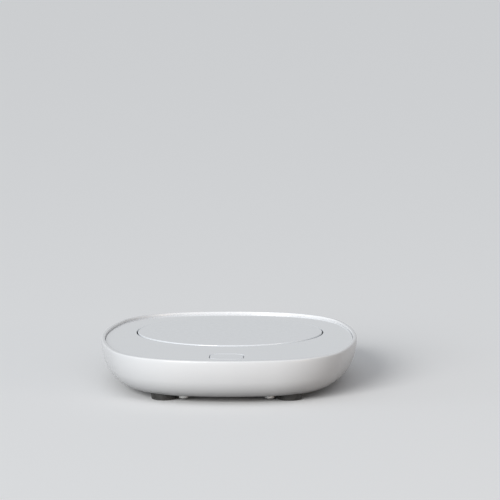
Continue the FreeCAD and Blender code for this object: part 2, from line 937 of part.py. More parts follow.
def power_transistor():
    y = board_rear_y - transistor_margin
    body = centred_block(transistor_x, y, z_board, z_board + transistor_height, transistor_width,
                         transistor_depth)
    tab = centred_block(transistor_x, y + transistor_depth / 2, z_board,
                        z_board + transistor_tab_height, transistor_tab_width,
                        2 * transistor_tab_reach)
    legs = []
    for side in (-1, 1):
        legs.append(centred_block(transistor_x + side * transistor_leg_offset,
                                  y - transistor_depth / 2, z_board,
                                  z_board + transistor_leg_height, transistor_leg_width,
                                  2 * transistor_leg_reach))
    return join([body, tab] + legs)


def control_chip():
    y = board_rear_y - chip_margin
    body = centred_block(chip_x, y, z_board, z_board + chip_height, chip_width, chip_depth)
    pitch = chip_width / chip_pin_count
    pins = []
    for i in range(chip_pin_count):
        x = chip_x + (i - (chip_pin_count - 1) / 2) * pitch
        pins.append(centred_block(x, y, z_board, z_board + chip_pin_height, chip_pin_width,
                                  chip_depth + 2 * chip_pin_reach))
    return join([body] + pins)


def lead_headers():
    headers = []
    rear = board_rear_y - header_margin
    for x in (inlet_lead_x, switch_lead_x, heater_lead_x, sensor_lead_x):
        headers.append(block(x - header_width / 2, x + header_width / 2, rear - header_depth, rear,
                             z_board, z_board + header_height))
    return group(headers)


def board_link():
    y = button_y + button_board_depth / 2 - link_depth
    return centred_block(0, y, z_board, z_button_board_under, link_width, link_depth)


def lead_path(points, bends):
    """Straight runs joined by tangent arcs: one bend radius for each inner point."""
    edges = []
    start = points[0]
    for i in range(1, len(points) - 1):
        before = (points[i - 1] - points[i]).normalize()
        after = (points[i + 1] - points[i]).normalize()
        half = before.getAngle(after) / 2
        trim = bends[i - 1] / math.tan(half)
        p1 = points[i] + before * trim
        p3 = points[i] + after * trim
        middle = (before + after).normalize()
        centre = points[i] + middle * (bends[i - 1] / math.sin(half))
        p2 = centre - middle * bends[i - 1]
        edges.append(line(start, p1))
        edges.append(arc(p1, p2, p3))
        start = p3
    edges.append(line(start, points[-1]))
    return Part.Wire(edges)


def lead(points, bends, radius):
    path = lead_path(points, bends)
    direction = points[1] - points[0]
    ring = Part.Wire(Part.makeCircle(radius, points[0], direction))
    return path.makePipeShell([ring], True, False)


def header_end(x):
    """The last three points of a lead: the foot of the ramp, its crest and the header's rear face."""
    rear = board_rear_y - header_margin
    z_end = z_board + wire_height_in_header
    return [V(x, rear + ramp_length, z_wire), V(x, rear + ramp_level, z_end), V(x, rear, z_end)]


def lead_pair(x, points_for, bends, radius):
    leads = []
    for side in (-1, 1):
        leads.append(lead(points_for(x + side * lead_spacing / 2), bends, radius))
    return group(leads)


def heater_leads():
    y = plate_y - heater_lead_rise
    z_top = z_heater_under - lead_top_gap

    def points_for(x):
        return [V(x, y, z_top), V(x, y, z_wire)] + header_end(x)

    return lead_pair(heater_lead_x, points_for, [rise_bend, ramp_bend, ramp_crest_bend], lead_radius)


def sensor_leads():
    y = plate_y - sensor_lead_rise
    z_top = z_heater_under - lead_top_gap

    def points_for(x):
        return [V(x, y, z_top), V(x, y, z_wire)] + header_end(x)

    return lead_pair(sensor_lead_x, points_for, [rise_bend, ramp_bend, ramp_crest_bend], thin_lead_radius)


def switch_leads():
    y = switch_tab_end()
    z_tab = switch_seat() + switch_height - 1.5 * switch_tab_thickness
    side_step = switch_length / 2 - switch_tab_width

    def points_for(x):
        side = 1 if x > switch_lead_x else -1
        x0 = side * side_step
        turn = y - tab_run
        return [V(x0, y, z_tab), V(x0, turn, z_tab), V(x, turn - switch_lead_fall, z_wire)] + header_end(x)

    bends = [ramp_crest_bend, ramp_bend, ramp_bend, ramp_crest_bend]
    return lead_pair(switch_lead_x, points_for, bends, thin_lead_radius)


def inlet_leads():
    y = inlet_body_y - inlet_tab_thickness
    z0 = z_ledge_top() + lead_radius + lead_floor_gap

    def points_for(x):
        side = 1 if x > inlet_lead_x else -1
        x0 = side * inlet_body_width / 4
        turn = y - tab_run
        return [V(x0, y, z0), V(x0, turn, z0), V(x, turn - inlet_turn, z_wire)] + header_end(x)

    bends = [ramp_crest_bend, ramp_bend, ramp_bend, ramp_crest_bend]
    return lead_pair(inlet_lead_x, points_for, bends, lead_radius)


def z_ledge_top():
    return z_cover + ledge_thickness


def inlet_body_block():
    return block(-inlet_body_width / 2, inlet_body_width / 2, inlet_body_y, inlet_y - inlet_wall,
                 inlet_z - inlet_body_height / 2, inlet_z + inlet_body_height / 2)


def power_inlet():
    body = inlet_body_block()
    nose = inlet_cylinder(inlet_y - inlet_wall, inlet_y, inlet_nose_radius)
    bore = inlet_cylinder(inlet_y - inlet_bore_depth, inlet_y, inlet_bore_radius)
    pin = inlet_cylinder(inlet_body_y, inlet_y - inlet_bore_depth, inlet_pin_radius)
    return body.fuse(nose).removeSplitter().cut(bore).cut(pin)


def inlet_pin():
    return inlet_cylinder(inlet_body_y, inlet_y - inlet_pin_drop, inlet_pin_radius)


def inlet_tabs():
    tabs = []
    for side in (-1, 1):
        x = side * inlet_body_width / 4
        z0 = inlet_z - inlet_body_height / 2
        tabs.append(block(x - inlet_tab_width / 2, x + inlet_tab_width / 2,
                          inlet_body_y - inlet_tab_thickness, inlet_body_y, z_ledge_top(),
                          z0 + 2 * inlet_tab_width))
    return group(tabs)


def cover_screws():
    screws = []
    for x, y in four_corners(cover_screw_x, cover_screw_y):
        shank = cylinder(x, y, z_base, z_base + cover_screw_length, cover_screw_radius)
        head = screw_head(x, y, z_base, -1, cover_screw_head_radius, cover_screw_head_height)
        screws.append(shank.fuse(head).removeSplitter())
    return group(screws)


def foot(x, y):
    """A rubber foot: slightly tapered, with a rounded bottom edge."""
    bevel = 1 - math.sqrt(0.5)
    low = foot_radius - foot_taper
    r = foot_bottom_round
    z_top = z_base + foot_recess
    points = [V(0, 0, 0), V(low - r, 0, 0), V(low - r * bevel, 0, r * bevel), V(low, 0, r),
              V(foot_radius, 0, z_base), V(foot_radius, 0, z_top), V(0, 0, z_top)]
    edges = [line(points[0], points[1]), arc(points[1], points[2], points[3]), line(points[3], points[4]),
             line(points[4], points[5]), line(points[5], points[6]), line(points[6], points[0])]
    solid = face_of(edges).revolve(V(0, 0, 0), UP, 360)
    solid.translate(V(x, y, 0))
    return solid


def write(name, shape):
    shape.exportStep("parts/" + name + ".step")


def main():
    os.makedirs("parts", exist_ok=True)
    outer_form = bowl()
    write("housing_shell", housing_shell(outer_form))
    write("bottom_cover", bottom_cover(outer_form))
    write("top_panel", top_panel())
    write("panel_tape", panel_tape())
    write("heating_plate", heating_plate())
    write("heater_film", heater_film())
    write("insulation_pad", insulation_pad())
    write("plate_carrier", plate_carrier())
    write("plate_seal", plate_seal())
    write("plate_screws", plate_screws())
    write("guide_screws", guide_screws())
    write("plate_springs", plate_springs())
    write("temperature_sensor", temperature_sensor())
    write("thermal_fuse", thermal_fuse())
    write("fuse_clip", fuse_clip())
    write("weight_switch", weight_switch())
    write("weight_switch_plunger", weight_switch_plunger())
    write("switch_pins", switch_pins())
    write("switch_tabs", switch_tabs())
    write("power_button", power_button())
    write("button_spring", button_spring())
    write("button_board", button_board())
    write("button_board_screws", button_board_screws())
    write("tact_switch", tact_switch())
    write("tact_plunger", tact_plunger())
    write("status_leds", status_leds())
    write("main_board", main_board())
    write("main_board_screws", main_board_screws())
    write("capacitor", capacitor())
    write("choke", choke())
    write("power_transistor", power_transistor())
    write("control_chip", control_chip())
    write("lead_headers", lead_headers())
    write("board_link", board_link())
    write("heater_leads", heater_leads())
    write("sensor_leads", sensor_leads())
    write("switch_leads", switch_leads())
    write("inlet_leads", inlet_leads())
    write("power_inlet", power_inlet())
    write("inlet_pin", inlet_pin())
    write("inlet_tabs", inlet_tabs())
    write("cover_screws", cover_screws())
    names = ["foot_front_left", "foot_front_right", "foot_rear_left", "foot_rear_right"]
    for name, (x, y) in zip(names, four_corners(foot_x, foot_y)):
        write(name, foot(x, y))


main()
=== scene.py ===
import math

import bmesh
import bpy
from mathutils import Matrix, Vector


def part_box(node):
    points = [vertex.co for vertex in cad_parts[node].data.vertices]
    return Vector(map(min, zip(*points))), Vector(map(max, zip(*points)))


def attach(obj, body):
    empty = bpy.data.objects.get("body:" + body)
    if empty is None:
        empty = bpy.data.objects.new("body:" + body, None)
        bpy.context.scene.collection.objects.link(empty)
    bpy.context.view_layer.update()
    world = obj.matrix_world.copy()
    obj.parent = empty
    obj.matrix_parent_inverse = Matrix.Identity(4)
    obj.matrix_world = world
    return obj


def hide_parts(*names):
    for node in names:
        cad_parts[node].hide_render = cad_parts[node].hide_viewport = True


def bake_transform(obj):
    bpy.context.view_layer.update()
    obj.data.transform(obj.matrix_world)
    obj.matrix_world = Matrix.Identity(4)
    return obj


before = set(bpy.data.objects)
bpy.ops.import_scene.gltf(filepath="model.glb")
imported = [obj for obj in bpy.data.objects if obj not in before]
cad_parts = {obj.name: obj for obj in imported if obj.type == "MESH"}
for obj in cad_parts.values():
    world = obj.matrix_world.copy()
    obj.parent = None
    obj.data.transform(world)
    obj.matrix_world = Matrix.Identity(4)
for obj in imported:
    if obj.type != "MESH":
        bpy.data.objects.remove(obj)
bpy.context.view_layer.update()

# Places and levels read from the frame. Metres, +X right, +Y back, +Z up, the origin on the floor.
shell_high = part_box("housing_shell")[1]
panel_low, panel_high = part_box("top_panel")
cover_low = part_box("bottom_cover")[0]
plate_low, plate_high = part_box("heating_plate")
cap_low, cap_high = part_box("power_button")
screws_low, screws_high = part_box("cover_screws")
inlet_low, inlet_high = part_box("power_inlet")
pin_low, pin_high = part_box("inlet_pin")
tape_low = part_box("panel_tape")[0]

half_width = shell_high.x
half_depth = shell_high.y
z_rim = shell_high.z
z_panel = panel_high.z
z_panel_under = panel_low.z
z_deck = tape_low.z
z_base = cover_low.z
plate_radius = (plate_high.x - plate_low.x) / 2
plate_y = (plate_high.y + plate_low.y) / 2
z_plate = plate_high.z
z_pad_under = plate_low.z
button_y = (cap_high.y + cap_low.y) / 2
z_cap_low = cap_low.z
inlet_y = inlet_high.y
inlet_z = (pin_high.z + pin_low.z) / 2

# Tray outline: shallow arcs along the sides and ends, tighter arcs at the corners
side_radius = 0.160
end_radius = 0.100
corner_radius = 0.042
side_steps = 14
corner_steps = 28
end_steps = 18

# Tray side and rim
rim_width = 0.0018
rim_outer_round = 0.0007
rim_inner_round = 0.0003
side_drop_in = 0.0139
heel_radius = 0.0130
wall = 0.0020
z_side_top = z_rim - rim_outer_round
upper_steps = 6
heel_steps = 18
round_steps = 5

# Inside of the tray
fit_gap = 0.00015
deck_thickness = 0.0020
cover_thickness = 0.0024
seam_inset = 0.0085
seam_gap = 0.00015
seam_round = 0.0002
ledge_width = 0.0020
ledge_thickness = 0.0014
well_gap = 0.00025
well_wall = 0.0016
well_floor = 0.0015
well_floor_width = 0.0115
under_well_room = 0.0043
z_deck_under = z_deck - deck_thickness
z_cover = z_base + cover_thickness
z_ledge = z_cover + ledge_thickness
z_well_under = z_cover + under_well_room
z_well_floor = z_well_under + well_floor

# Plate, panel and button
plate_thickness = 0.0020
plate_gap = 0.0006
plate_edge_round = 0.0004
plate_boss_radius = 0.0030
plate_boss_circle = plate_radius - 0.0057
plate_hole_radius = plate_radius + plate_gap
well_radius = plate_hole_radius + well_gap
well_outer_radius = well_radius + well_wall
panel_edge_round = 0.00025
button_size = 0.0154
button_corner = 0.0045
button_gap = 0.0002
button_edge_round = 0.0005
button_flange = 0.0010
button_flange_thickness = 0.0010
button_skirt_below_deck = 0.0014
button_wall = 0.0012
button_top = 0.0016
button_pip_radius = 0.0015
slide_gap = 0.0003
z_flange = z_cap_low + button_skirt_below_deck

# Underside
label_width = 0.044
label_depth = 0.024
label_corner = 0.002
label_recess = 0.0002
foot_gap = 0.0001
foot_bottom_round = 0.0006
foot_taper = 0.0003
foot_dish = 0.0003
foot_dish_share = 0.62
foot_dish_floor_share = 0.9
foot_groove = 0.0004
foot_groove_share = 0.74
screw_head_radius = 0.0023
screw_head_height = z_base - screws_low.z
screw_radius = 0.00115
screw_spacing_x = 2 * (screws_high.x - screw_head_radius)
screw_spacing_y = 2 * (screws_high.y - screw_head_radius)
screw_bulge_share = 0.45
slot_length_share = 1.1
slot_width_share = 0.3
slot_corner_share = 0.1
screw_turn_seed = 4

# Power inlet
inlet_wall = 0.0015
inlet_boss_radius = 0.0060
inlet_pocket_radius = 0.0050
inlet_nose_radius = 0.0040
inlet_bore_radius = 0.0028
inlet_bore_depth = 0.0070
inlet_mouth_round = 0.0003
inlet_body_width = inlet_high.x - inlet_low.x
inlet_body_height = inlet_high.z - inlet_low.z
inlet_pin_radius = (pin_high.x - pin_low.x) / 2
inlet_tip_turn = math.pi / 2 * 0.96

# How many sides round things have, and how many steps their rounded edges
plate_sides = 256
hole_sides = 192
lathe_sides = 128
foot_sides = 96
socket_sides = 96
pocket_sides = 72
boss_sides = 64
small_sides = 48
plate_round_steps = 8
foot_round_steps = 8
tip_steps = 8
small_round_steps = 6
cap_round_steps = 5
mouth_steps = 4

# Cuts run past what they cut. Edges turned more than a corner's angle get rounded, and edges turned
# more than a crease's are shaded as sharp.
overcut = 0.001
same_place = 1e-7
same_height = 1e-6
corner_angle = math.radians(60)
mouth_angle = math.radians(20)
crease = math.radians(32)
level_face = 0.9999

# The photograph's camera: how far it stands from the point that it looks at, how far above level and
# how far round to the right
view_distance = 1.8964
view_rise = 0.132
view_turn = 0.016
view_aim = Vector((0.009785, 0, 0.061486))
view_focal_pixels = 4041.7
photo_pixels = 500
sensor_width = 36
nearest_seen = 0.05
farthest_seen = 200


def arc_of(centre, radius, start, end, steps):
    """Points of an arc in a section, as pairs of inset and height."""
    points = []
    for i in range(steps + 1):
        angle = start + (end - start) * i / steps
        points.append((centre[0] + radius * math.cos(angle), centre[1] + radius * math.sin(angle)))
    return points


# Outlines. A station is a place on an outline: the centre of its arc, the arc's radius, the way out.
def station(centre, radius, angle):
    return Vector(centre), radius, Vector((math.cos(angle), math.sin(angle), 0))


def stations_along(centre, radius, start, end, steps):
    return [station(centre, radius, start + (end - start) * i / steps) for i in range(steps + 1)]


def mirrored_round(quarter, middle=Vector((0, 0, 0))):
    """The whole outline from its quarter between +X and +Y, counter-clockwise."""

    def mirrored(station, sides):
        centre, radius, out = station
        return centre * Vector(sides), radius, out * Vector(sides)

    half = quarter + [mirrored(s, (-1, 1, 1)) for s in reversed(quarter[:-1])]
    whole = half + [mirrored(s, (1, -1, 1)) for s in reversed(half[1:-1])]
    return [(middle + centre, radius, out) for centre, radius, out in whole]


def tray_outline():
    side_centre = Vector((half_width - side_radius, 0, 0))
    end_centre = Vector((0, half_depth - end_radius, 0))
    to_side = side_radius - corner_radius
    to_end = end_radius - corner_radius
    apart = end_centre - side_centre
    along = (to_side ** 2 - to_end ** 2 + apart.length_squared) / (2 * apart.length)
    across = math.sqrt(to_side ** 2 - along ** 2)
    unit = apart.normalized()
    corner = side_centre + unit * along + Vector((-unit.y, unit.x, 0)) * across
    low = math.atan2(corner.y - side_centre.y, corner.x - side_centre.x)
    high = math.atan2(corner.y - end_centre.y, corner.x - end_centre.x)
    quarter = stations_along(side_centre, side_radius, 0, low, side_steps)
    quarter += stations_along(corner, corner_radius, low, high, corner_steps)[1:]
    quarter += stations_along(end_centre, end_radius, high, math.pi / 2, end_steps)[1:]
    return mirrored_round(quarter)


def rounded_outline(width, depth, corner, middle, steps=10):
    x = width / 2 - corner
    y = depth / 2 - corner
    quarter = [station((x, 0, 0), corner, 0)]
    quarter += stations_along((x, y, 0), corner, 0, math.pi / 2, steps)
    quarter.append(station((0, y, 0), corner, math.pi / 2))
    return mirrored_round(quarter, middle)


def button_outline(growth):
    size = button_size + 2 * growth
    return rounded_outline(size, size, button_corner + growth, Vector((0, button_y, 0)))


def circle_outline(middle, steps):
    return stations_along(middle, 0, 0, 2 * math.pi, steps)[:-1]


# The tray's side in section. Tilt is how far the surface has turned from upright, from none at the
# rim to a quarter turn where the underside is level.
side_height = z_side_top - z_base
upper_radius = (side_drop_in ** 2 + (side_height - heel_radius) ** 2 - heel_radius ** 2)
upper_radius = upper_radius / (2 * (side_drop_in - heel_radius))
heel_z = z_base + heel_radius
join_tilt = math.atan2(z_side_top - heel_z, upper_radius - side_drop_in)


def side_point(offset, tilt):
    centre, height, radius = side_drop_in, heel_z, heel_radius
    if tilt < join_tilt:
        centre, height, radius = upper_radius, z_side_top, upper_radius
    reach = radius - offset
    return centre - reach * math.cos(tilt), height - reach * math.sin(tilt)


def heel_tilt_at_inset(offset, inset):
    return math.acos((side_drop_in - inset) / (heel_radius - offset))


def heel_tilt_at_height(offset, z):
    return math.asin((heel_z - z) / (heel_radius - offset))


def side_points(offset, start, end):
    """The side's section between two tilts, with its points evenly turned above and below the join."""
    points = []
    if start < join_tilt:
        for i in range(upper_steps):
            points.append(side_point(offset, start + (join_tilt - start) * i / upper_steps))
        start = join_tilt
    for i in range(heel_steps + 1):
        points.append(side_point(offset, start + (end - start) * i / heel_steps))
    return points


# Meshes
def skin(stations, section, closed=False):
    """Carries a section of insets and heights round an outline. An open section gets flat ends."""
    mesh = bmesh.new()
    rings = []
    for inset, z in section:
        level = Vector((0, 0, z))
        rings.append([mesh.verts.new(centre + out * (radius - inset) + level)
                      for centre, radius, out in stations])
    pairs = list(zip(rings, rings[1:]))
    if closed:
        pairs.append((rings[-1], rings[0]))
    for one, other in pairs:
        for i in range(len(one)):
            mesh.faces.new((one[i - 1], one[i], other[i], other[i - 1]))
    if not closed:
        mesh.faces.new(rings[0])
        mesh.faces.new(rings[-1])
    bmesh.ops.recalc_face_normals(mesh, faces=mesh.faces)
    return mesh


def turned(section, middle=(0, 0, 0), steps=lathe_sides, closed=False):
    """A lathe-turned solid round an upright line. Its section is pairs of radius and height."""
    return skin(circle_outline(middle, steps), [(-radius, z) for radius, z in section], closed)


def lying_back(mesh, middle):
    """Turns a mesh that was made upright at the origin so that its top faces the back."""
    turn = Matrix.Translation(middle) @ Matrix.Rotation(math.radians(-90), 4, "X")
    mesh.transform(turn)
    return mesh


def block(width, depth, z0, z1, middle, corner):
    outline = rounded_outline(width, depth, corner, Vector((middle[0], middle[1], 0)), steps=4)
    return skin(outline, [(0, z0), (0, z1)])


def made(name, mesh):
    """An object at the origin from a finished bmesh."""
    data = bpy.data.meshes.new(name)
    mesh.to_mesh(data)
    mesh.free()
    piece = bpy.data.objects.new(name, data)
    bpy.context.scene.collection.objects.link(piece)
    return piece


def taken(piece):
    """The mesh of a piece that was only needed to make another."""
    mesh = bmesh.new()
    mesh.from_mesh(piece.data)
    bpy.data.objects.remove(piece)
    return mesh


def settle(piece):
    """Makes a piece's modifiers part of its mesh."""
    bpy.context.view_layer.update()
    evaluated = piece.evaluated_get(bpy.context.evaluated_depsgraph_get())
    data = bpy.data.meshes.new_from_object(evaluated)
    piece.modifiers.clear()
    piece.data = data
    return piece


def combine(piece, operation, meshes):
    """Fuses meshes with a piece, or cuts them from it."""
    tools = [made("tool", mesh) for mesh in meshes]
    for tool in tools:
        change = piece.modifiers.new("combine", "BOOLEAN")
        change.solver = "EXACT"
        change.operation = operation
        change.object = tool
    settle(piece)
    for tool in tools:
        bpy.data.objects.remove(tool)
    return piece


def ease_edges(piece, width, picked, segments=3):
    """Rounds the edges that picked chooses from a piece's mesh."""
    mesh = bmesh.new()
    mesh.from_mesh(piece.data)
    bmesh.ops.remove_doubles(mesh, verts=mesh.verts, dist=same_place)
    edges = [e for e in mesh.edges if len(e.link_faces) == 2 and picked(e)]
    bmesh.ops.bevel(mesh, geom=edges, offset=width, segments=segments, profile=0.5, affect="EDGES",
                    clamp_overlap=True)
    mesh.to_mesh(piece.data)
    mesh.free()
    return piece


def sharp(edge, least=corner_angle):
    return edge.calc_face_angle(0) > least


def shade(piece):
    """Smooth shading, with creases at sharp edges and flat shading on level faces."""
    data = piece.data
    data.set_sharp_from_angle(angle=crease)
    data.polygons.foreach_set("use_smooth", [abs(f.normal.z) < level_face for f in data.polygons])
    data.update()
    return piece


def dressed(piece, finish, body, slot, *nodes):
    """Gives a piece its finish, its body and the CAD nodes that it stands for."""
    piece.data.materials.clear()
    piece.data.materials.append(finish)
    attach(piece, body)
    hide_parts(*nodes)
    return piece


# Geometry Nodes
def new_tree(name, inputs):
    tree = bpy.data.node_groups.new(name, "GeometryNodeTree")
    for title, kind in inputs:
        tree.interface.new_socket(title, in_out="INPUT", socket_type=kind)
    tree.interface.new_socket("Geometry", in_out="OUTPUT", socket_type="NodeSocketGeometry")
    return tree, tree.nodes.new("NodeGroupInput")


def close_tree(tree, given, geometry):
    """Ends a tree in Realize Instances and Set Material."""
    realize = tree.nodes.new("GeometryNodeRealizeInstances")
    paint = tree.nodes.new("GeometryNodeSetMaterial")
    output = tree.nodes.new("NodeGroupOutput")
    tree.links.new(geometry, realize.inputs["Geometry"])
    tree.links.new(realize.outputs["Geometry"], paint.inputs["Geometry"])
    tree.links.new(given.outputs["Material"], paint.inputs["Material"])
    tree.links.new(paint.outputs["Geometry"], output.inputs["Geometry"])


def grow(name, tree, values):
    """Runs a tree with the values given by its inputs' names, and keeps the plain mesh."""
    piece = made(name, bmesh.new())
    change = piece.modifiers.new("tree", "NODES")
    change.node_group = tree
    for item in tree.interface.items_tree:
        if item.in_out == "INPUT" and item.name in values:
            change[item.identifier] = values[item.name]
    return settle(piece)


def closed_line(name, points):
    """A closed straight-sided curve through points, as a path or a profile for a tree."""
    curve = bpy.data.curves.new(name, "CURVE")
    curve.dimensions = "3D"
    spline = curve.splines.new("POLY")
    spline.points.add(len(points) - 1)
    for point, place in zip(spline.points, points):
        point.co = (*place, 1)
    spline.use_cyclic_u = True
    line = bpy.data.objects.new(name, curve)
    bpy.context.scene.collection.objects.link(line)
    return line


def wall_tree():
    """Sweeps a wall's section round the tray's outline."""
    tree, given = new_tree("tray wall", [("Outline", "NodeSocketObject"),
                                         ("Section", "NodeSocketObject"),
                                         ("Material", "NodeSocketMaterial")])
    outline = tree.nodes.new("GeometryNodeObjectInfo")
    section = tree.nodes.new("GeometryNodeObjectInfo")
    level = tree.nodes.new("GeometryNodeSetCurveNormal")
    level.mode = "Z_UP"
    sweep = tree.nodes.new("GeometryNodeCurveToMesh")
    tree.links.new(given.outputs["Outline"], outline.inputs["Object"])
    tree.links.new(given.outputs["Section"], section.inputs["Object"])
    tree.links.new(outline.outputs["Geometry"], level.inputs["Curve"])
    tree.links.new(level.outputs["Curve"], sweep.inputs["Curve"])
    tree.links.new(section.outputs["Geometry"], sweep.inputs["Profile Curve"])
    close_tree(tree, given, sweep.outputs["Mesh"])
    return tree


def screw_tree():
    """Sets a screw on each corner of a rectangle, each turned to its own angle."""
    tree, given = new_tree("screw set", [("Screw", "NodeSocketObject"),
                                         ("Spacing X", "NodeSocketFloat"),
                                         ("Spacing Y", "NodeSocketFloat"),
                                         ("Height", "NodeSocketFloat"),
                                         ("Seed", "NodeSocketInt"),
                                         ("Material", "NodeSocketMaterial")])
    grid = tree.nodes.new("GeometryNodeMeshGrid")
    grid.inputs["Vertices X"].default_value = 2
    grid.inputs["Vertices Y"].default_value = 2
    lift = tree.nodes.new("ShaderNodeCombineXYZ")
    place = tree.nodes.new("GeometryNodeSetPosition")
    screw = tree.nodes.new("GeometryNodeObjectInfo")
    screw.inputs["As Instance"].default_value = True
    angle = tree.nodes.new("FunctionNodeRandomValue")
    angle.inputs[3].default_value = 2 * math.pi
    turn = tree.nodes.new("ShaderNodeCombineXYZ")
    instance = tree.nodes.new("GeometryNodeInstanceOnPoints")
    tree.links.new(given.outputs["Spacing X"], grid.inputs["Size X"])
    tree.links.new(given.outputs["Spacing Y"], grid.inputs["Size Y"])
    tree.links.new(given.outputs["Height"], lift.inputs["Z"])
    tree.links.new(given.outputs["Screw"], screw.inputs["Object"])
    tree.links.new(given.outputs["Seed"], angle.inputs["Seed"])
    tree.links.new(grid.outputs["Mesh"], place.inputs["Geometry"])
    tree.links.new(lift.outputs["Vector"], place.inputs["Offset"])
    tree.links.new(angle.outputs[1], turn.inputs["Z"])
    tree.links.new(place.outputs["Geometry"], instance.inputs["Points"])
    tree.links.new(screw.outputs["Geometry"], instance.inputs["Instance"])
    tree.links.new(turn.outputs["Vector"], instance.inputs["Rotation"])
    close_tree(tree, given, instance.outputs["Instances"])
    return tree


# The places of a Mix node's colours among its sockets
mix_first = 6
mix_second = 7
mix_result = 2


# Finishes. Every pattern is in the object's own coordinates, so its scales are marks in a metre.
class Finish:
    """A material with one Principled shader, whose colour, gloss and relief the calls below vary."""

    def __init__(self, name, colour, roughness, **constants):
        self.material = bpy.data.materials.new(name)
        self.material.use_nodes = True
        self.tree = self.material.node_tree
        self.shader = self.tree.nodes["Principled BSDF"]
        self.shader.inputs["Base Color"].default_value = (*colour, 1)
        self.shader.inputs["Roughness"].default_value = roughness
        for title, value in constants.items():
            self.shader.inputs[title.replace("_", " ")].default_value = value
        self.colour = colour
        self.place = self.add("ShaderNodeTexCoord").outputs["Object"]

    def add(self, kind, **inputs):
        node = self.tree.nodes.new(kind)
        for name, value in inputs.items():
            socket = node.inputs[name.replace("_", " ")]
            if isinstance(value, bpy.types.NodeSocket):
                self.tree.links.new(value, socket)
            else:
                socket.default_value = value
        return node

    def noise(self, marks, detail=2.0, rough=0.5, stretch=None):
        place = self.place
        if stretch:
            place = self.add("ShaderNodeMapping", Vector=place, Scale=stretch).outputs["Vector"]
        return self.add("ShaderNodeTexNoise", Vector=place, Scale=marks, Detail=detail,
                        Roughness=rough).outputs["Fac"]

    def spread(self, pattern, low, high, first=0.35, last=0.65):
        """Maps the middle of a pattern's range to values between low and high."""
        node = self.add("ShaderNodeMapRange", Value=pattern)
        node.inputs["From Min"].default_value = first
        node.inputs["From Max"].default_value = last
        node.inputs["To Min"].default_value = low
        node.inputs["To Max"].default_value = high
        return node.outputs["Result"]

    def tint(self, pattern, other, first=0.35, last=0.65):
        """Mixes the colour towards another where the pattern is high."""
        mix = self.add("ShaderNodeMix")
        mix.data_type = "RGBA"
        share = self.spread(pattern, 0, 1, first, last)
        self.tree.links.new(share, mix.inputs["Factor"])
        socket = self.shader.inputs["Base Color"]
        if socket.is_linked:
            self.tree.links.new(socket.links[0].from_socket, mix.inputs[mix_first])
        else:
            mix.inputs[mix_first].default_value = (*self.colour, 1)
        mix.inputs[mix_second].default_value = (*other, 1)
        self.tree.links.new(mix.outputs[mix_result], socket)
        return self

    def gloss(self, pattern, low, high):
        self.tree.links.new(self.spread(pattern, low, high), self.shader.inputs["Roughness"])
        return self

    def relief(self, pattern, depth, strength=1.0):
        """Raises the surface where the pattern is high, by a depth in metres."""
        bump = self.add("ShaderNodeBump", Height=pattern, Distance=depth, Strength=strength)
        socket = self.shader.inputs["Normal"]
        if socket.is_linked:
            self.tree.links.new(socket.links[0].from_socket, bump.inputs["Normal"])
        self.tree.links.new(bump.outputs["Normal"], socket)
        return self


def darker(colour, share):
    return tuple(c * share for c in colour)


def white_shell():
    """Moulded white with a satin gloss and the faint ripple of a polished mould."""
    finish = Finish("white_shell", (0.76, 0.765, 0.775), 0.24, IOR=1.5)
    finish.tint(finish.noise(28, 3), (0.735, 0.742, 0.756))
    finish.gloss(finish.noise(300, 2), 0.235, 0.26)
    finish.relief(finish.noise(110, 1), 0.000008, 0.1)
    return finish.material


def white_cover():
    """The same plastic from an etched mould: finely grained and more matt."""
    finish = Finish("white_cover", (0.73, 0.735, 0.745), 0.42, IOR=1.5)
    finish.tint(finish.noise(40, 3), (0.70, 0.707, 0.72))
    finish.gloss(finish.noise(700, 4), 0.38, 0.52)
    finish.relief(finish.noise(1300, 3, 0.6), 0.000008, 0.5)
    return finish.material


def gloss_panel():
    """A clear-lacquered white sheet, flat to the eye, with the long ripple of a pressed sheet."""
    finish = Finish("gloss_panel", (0.76, 0.785, 0.82), 0.10, IOR=1.5, Coat_Weight=1.0,
                    Coat_Roughness=0.03, Coat_IOR=1.5)
    finish.tint(finish.noise(18, 2), (0.745, 0.772, 0.81))
    finish.gloss(finish.noise(900, 4), 0.08, 0.14)
    finish.relief(finish.noise(45, 1), 0.000008, 0.12)
    return finish.material


def plate_coating():
    """White glass enamel over aluminium, with fine specks and a slightly softer gloss."""
    finish = Finish("plate_coating", (0.76, 0.783, 0.812), 0.14, IOR=1.52, Coat_Weight=0.6,
                    Coat_Roughness=0.05, Coat_IOR=1.5)
    finish.tint(finish.noise(1900, 3), (0.70, 0.725, 0.755), 0.56, 0.72)
    finish.gloss(finish.noise(500, 4), 0.11, 0.19)
    finish.relief(finish.noise(70, 1), 0.000008, 0.12)
    return finish.material


def button_plastic():
    finish = Finish("button_plastic", (0.76, 0.785, 0.82), 0.13, IOR=1.5, Coat_Weight=0.8,
                    Coat_Roughness=0.05, Coat_IOR=1.5)
    finish.tint(finish.noise(60, 2), (0.745, 0.772, 0.81))
    finish.gloss(finish.noise(900, 4), 0.13, 0.21)
    finish.relief(finish.noise(260, 2), 0.000006, 0.4)
    return finish.material


def rubber(name, colour, shine=0.62, painted_highlight_height=0):
    """Soft moulded rubber: matt, finely pitted, with a dusty bloom, and a painted highlight that makes
    it paler near the floor.
    """
    finish = Finish(name, colour, shine, IOR=1.5, Sheen_Weight=0.1, Sheen_Roughness=0.5)
    finish.tint(finish.noise(240, 4, 0.6), tuple(c * 1.5 + 0.012 for c in colour))
    if painted_highlight_height:
        # Painted highlight: the colour turns paler towards the floor, up to the given height, where
        # light catches the lower edge.
        height = finish.add("ShaderNodeSeparateXYZ", Vector=finish.place).outputs["Z"]
        finish.tint(height, tuple(c + 0.12 for c in colour), painted_highlight_height, 0)
    finish.gloss(finish.noise(900, 4), shine - 0.1, shine + 0.12)
    finish.relief(finish.noise(3800, 3), 0.000012, 0.6)
    return finish.material


